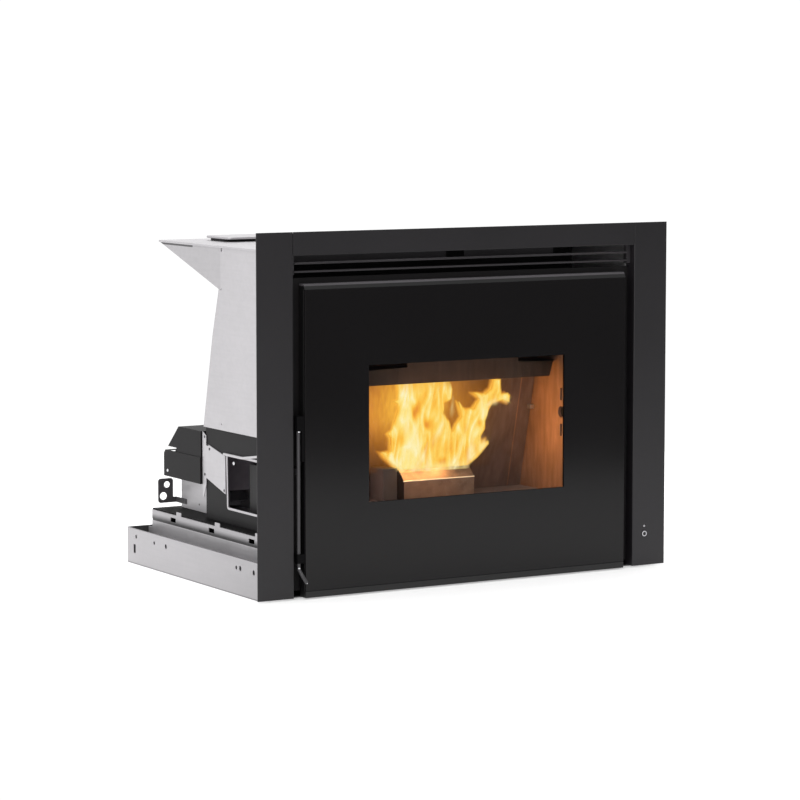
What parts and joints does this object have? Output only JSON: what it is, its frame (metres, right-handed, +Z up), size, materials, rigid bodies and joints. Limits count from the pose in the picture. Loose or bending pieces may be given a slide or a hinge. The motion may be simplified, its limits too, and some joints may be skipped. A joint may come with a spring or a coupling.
{
  "type": "slide-out pellet fireplace insert",
  "caption": "Slide-out pellet fireplace insert: black steel surround, printed glass door with a finger latch, galvanised body with hopper, and a sliding base tray.",
  "frame": {"origin": "middle of the bounding box on the underside of the base tray", "axes": "+Z up, -Y out of the fire door towards the room, +X to the right seen from the room"},
  "size_m": [0.8, 0.5195, 0.597],
  "materials": {
    "galvanised": "galvanised sheet, faint spangle",
    "tray_zinc": "galvanised sheet, slightly duller",
    "zinc": "bright zinc plating",
    "black_steel": "matt black powder coat",
    "dark_steel": "dark heat-proof paint",
    "glass": "ceramic glass with a printed black border and clear window",
    "liner": "fired steel, lit by the flames",
    "pot": "cast iron, sooty",
    "deflector": "dark fired plate",
    "seal": "black glass-fibre rope",
    "rubber": "black lid seal",
    "motor": "black enamel",
    "moulding": "black moulding",
    "button": "dark grey moulding",
    "lens": "clear signal lens",
    "ceramic": "pale ceramic rod"
  },
  "bodies": {
    "base": {"base_tray": "tray_zinc", "outer_slide_left": "zinc", "outer_slide_right": "zinc"},
    "insert": {"air_grille": "black_steel", "auger_motor": "motor", "auger_tube": "galvanised", "back_liner": "liner", "button_housing": "moulding", "cable_bracket": "black_steel", "control_box": "moulding", "electrics_cover": "black_steel", "fan_cover": "black_steel", "firebox_shell": "dark_steel", "flame_deflector": "deflector", "floor_plate": "black_steel", "flue_spigot": "galvanised", "front_plate": "black_steel", "hinge_strip": "zinc", "hopper": "galvanised", "igniter": "ceramic", "inner_slide_left": "zinc", "inner_slide_right": "zinc", "lamp_lens": "lens", "left_duct": "black_steel", "left_jamb": "black_steel", "left_liner": "liner", "left_panel": "galvanised", "left_rail": "galvanised", "lid_seal": "rubber", "mains_inlet": "moulding", "pot_seat": "dark_steel", "right_jamb": "black_steel", "right_liner": "liner", "right_panel": "galvanised", "right_rail": "galvanised", "room_fan_housing": "galvanised", "room_fan_motor": "motor", "service_frame": "galvanised", "side_bracket": "galvanised", "smoke_duct": "galvanised", "smoke_fan_housing": "galvanised", "smoke_fan_motor": "motor", "top_panel": "galvanised", "top_rail": "black_steel"},
    "slides": {"middle_slide_left": "zinc", "middle_slide_right": "zinc"},
    "door": {"door_frame": "dark_steel", "door_glass": "glass", "door_seal": "seal", "hinge_block_lower": "zinc", "hinge_block_upper": "zinc", "latch_bracket": "black_steel"},
    "latch": {"latch_rod": "black_steel"},
    "button": {"power_button": "button"},
    "lid": {"hopper_lid": "galvanised"},
    "pot": {"burn_pot": "pot"},
    "ash": {"ash_pan": "galvanised"},
    "auger": {"auger_screw": "zinc"},
    "smoke_wheel": {"smoke_impeller": "zinc"},
    "room_wheel": {"room_impeller": "zinc"}
  },
  "joints": [
    {"name": "insert_slide", "type": "slide", "parent": "base", "child": "insert", "axis": [0, -1, 0], "range_m": [0, 0.4]},
    {"name": "middle_slide", "type": "slide", "parent": "base", "child": "slides", "axis": [0, -1, 0], "range_m": [0, 0.2]},
    {"name": "door_hinge", "type": "hinge", "parent": "insert", "child": "door", "pos_m": [0.302, -0.23815, 0.25], "axis": [0, 0, 1], "range_deg": [0, 95]},
    {"name": "latch_turn", "type": "hinge", "parent": "door", "child": "latch", "pos_m": [-0.3245, -0.24415, 0.15], "axis": [0, 0, -1], "range_deg": [0, 75]},
    {"name": "power_press", "type": "slide", "parent": "insert", "child": "button", "axis": [0, 1, 0], "range_m": [0, 0.002], "stiffness_N_per_m": 400, "springref_m": -0.001},
    {"name": "lid_hinge", "type": "hinge", "parent": "insert", "child": "lid", "pos_m": [0, 0.19955, 0.5652], "axis": [-1, 0, 0], "range_deg": [0, 80]},
    {"name": "pot_lift", "type": "slide", "parent": "insert", "child": "pot", "axis": [0, 0, 1], "range_m": [0, 0.02]},
    {"name": "ash_pan_slide", "type": "slide", "parent": "insert", "child": "ash", "axis": [0, -1, 0], "range_m": [0, 0.022]},
    {"name": "auger_turn", "type": "hinge", "parent": "insert", "child": "auger", "pos_m": [0, 0.00585, 0.235], "axis": [0, 1, 0], "continuous": true},
    {"name": "smoke_fan_turn", "type": "hinge", "parent": "insert", "child": "smoke_wheel", "pos_m": [0.15, 0.11385, 0.1466], "axis": [0, 1, 0], "continuous": true},
    {"name": "room_fan_turn", "type": "hinge", "parent": "insert", "child": "room_wheel", "pos_m": [-0.258, 0.16035, 0.1425], "axis": [1, 0, 0], "continuous": true}
  ],
  "couplings": [
    {"joint": "middle_slide", "follows": "insert_slide", "ratio": 0.5}
  ]
}
